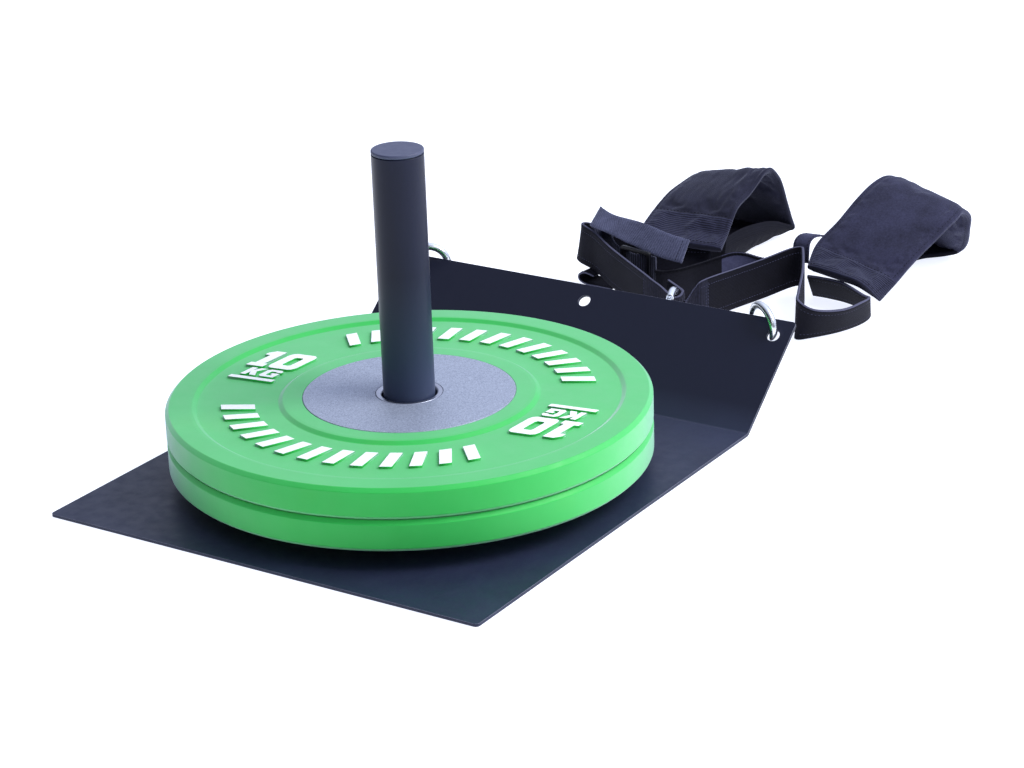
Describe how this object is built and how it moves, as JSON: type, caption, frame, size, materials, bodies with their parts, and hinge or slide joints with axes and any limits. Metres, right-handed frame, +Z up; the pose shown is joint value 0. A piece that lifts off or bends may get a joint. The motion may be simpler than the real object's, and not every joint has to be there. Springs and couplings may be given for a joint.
{
  "type": "weight sled",
  "caption": "Pull sled: folded black steel sheet with a loading post holding green bumper plates, snap hooks in its front panel and a shoulder harness lying ahead.",
  "frame": {"origin": "on the floor under the middle of the loading post, on the base sheet's underside", "axes": "+X to the right seen from behind the sled, +Y towards the front panel, the way the sled is pulled, +Z up along the post"},
  "size_m": [0.466, 1.0675, 0.314],
  "materials": {
    "black_steel": "satin black powder coat",
    "black_post": "satin black powder coat",
    "black_plastic": "matt",
    "green_rubber": "satin",
    "grey_steel": "grained grey",
    "zinc": "bright zinc plate",
    "spring_steel": "plain",
    "pad_fabric": "woven",
    "webbing": "woven",
    "ribbed_webbing": "ribbed"
  },
  "bodies": {
    "sled": {"base_plate": "black_steel", "foot_collar": "black_steel", "post_tube": "black_post", "post_cap": "black_plastic"},
    "lower_plate": {"lower_plate_rubber": "green_rubber", "lower_plate_top_disc": "grey_steel", "lower_plate_bottom_disc": "grey_steel", "lower_plate_sleeve": "grey_steel"},
    "upper_plate": {"upper_plate_rubber": "green_rubber", "upper_plate_top_disc": "grey_steel", "upper_plate_bottom_disc": "grey_steel", "upper_plate_sleeve": "grey_steel"},
    "left_hook": {"left_hook_bar": "zinc"},
    "left_gate": {"left_hook_gate": "zinc", "left_hook_pin": "zinc", "left_hook_spring": "spring_steel"},
    "right_hook": {"right_hook_bar": "zinc"},
    "right_gate": {"right_hook_gate": "zinc", "right_hook_pin": "zinc", "right_hook_spring": "spring_steel"},
    "harness": {"left_shoulder_pad": "pad_fabric", "right_shoulder_pad": "pad_fabric", "left_pull_strap": "webbing", "right_pull_strap": "webbing", "back_strap": "webbing", "adjuster_strap": "ribbed_webbing", "strap_adjuster": "black_plastic", "lower_strap_end": "webbing", "tab_loop": "webbing"},
    "strap_hook": {"strap_hook_bar": "zinc"},
    "strap_gate": {"strap_hook_gate": "zinc", "strap_hook_pin": "zinc", "strap_hook_spring": "spring_steel"}
  },
  "joints": [
    {"name": "lower_plate_lift", "type": "slide", "parent": "sled", "child": "lower_plate", "axis": [0, 0, 1], "range_m": [0, 0.3]},
    {"name": "upper_plate_lift", "type": "slide", "parent": "lower_plate", "child": "upper_plate", "axis": [0, 0, 1], "range_m": [0, 0.3]},
    {"name": "left_hook_swing", "type": "hinge", "parent": "sled", "child": "left_hook", "pos_m": [-0.215, 0.31131, 0.07108], "axis": [1, 0, 0], "range_deg": [-6, 3]},
    {"name": "right_hook_swing", "type": "hinge", "parent": "sled", "child": "right_hook", "pos_m": [0.215, 0.31131, 0.07108], "axis": [1, 0, 0], "range_deg": [-6, 3]},
    {"name": "left_gate_hinge", "type": "hinge", "parent": "left_hook", "child": "left_gate", "pos_m": [-0.18089, 0.33494, 0.0408], "axis": [0.5225, -0.8494, -0.0743], "range_deg": [0, 25], "stiffness_Nm_per_rad": 0.02, "springref_deg": -20.05},
    {"name": "right_gate_hinge", "type": "hinge", "parent": "right_hook", "child": "right_gate", "pos_m": [0.18089, 0.33494, 0.0408], "axis": [0.5225, 0.8494, 0.0743], "range_deg": [0, 25], "stiffness_Nm_per_rad": 0.02, "springref_deg": -20.05},
    {"name": "harness_lift", "type": "slide", "parent": "sled", "child": "harness", "axis": [0, 0, 1], "range_m": [0, 0.5]},
    {"name": "strap_hook_swing", "type": "hinge", "parent": "harness", "child": "strap_hook", "pos_m": [0.02002, 0.46002, 0.0243], "axis": [0, 0, 1], "range_deg": [-14, 14]},
    {"name": "strap_gate_hinge", "type": "hinge", "parent": "strap_hook", "child": "strap_gate", "pos_m": [0.03888, 0.40198, 0.03238], "axis": [-0.9511, -0.309, 0], "range_deg": [0, 25], "stiffness_Nm_per_rad": 0.02, "springref_deg": -20.05}
  ]
}
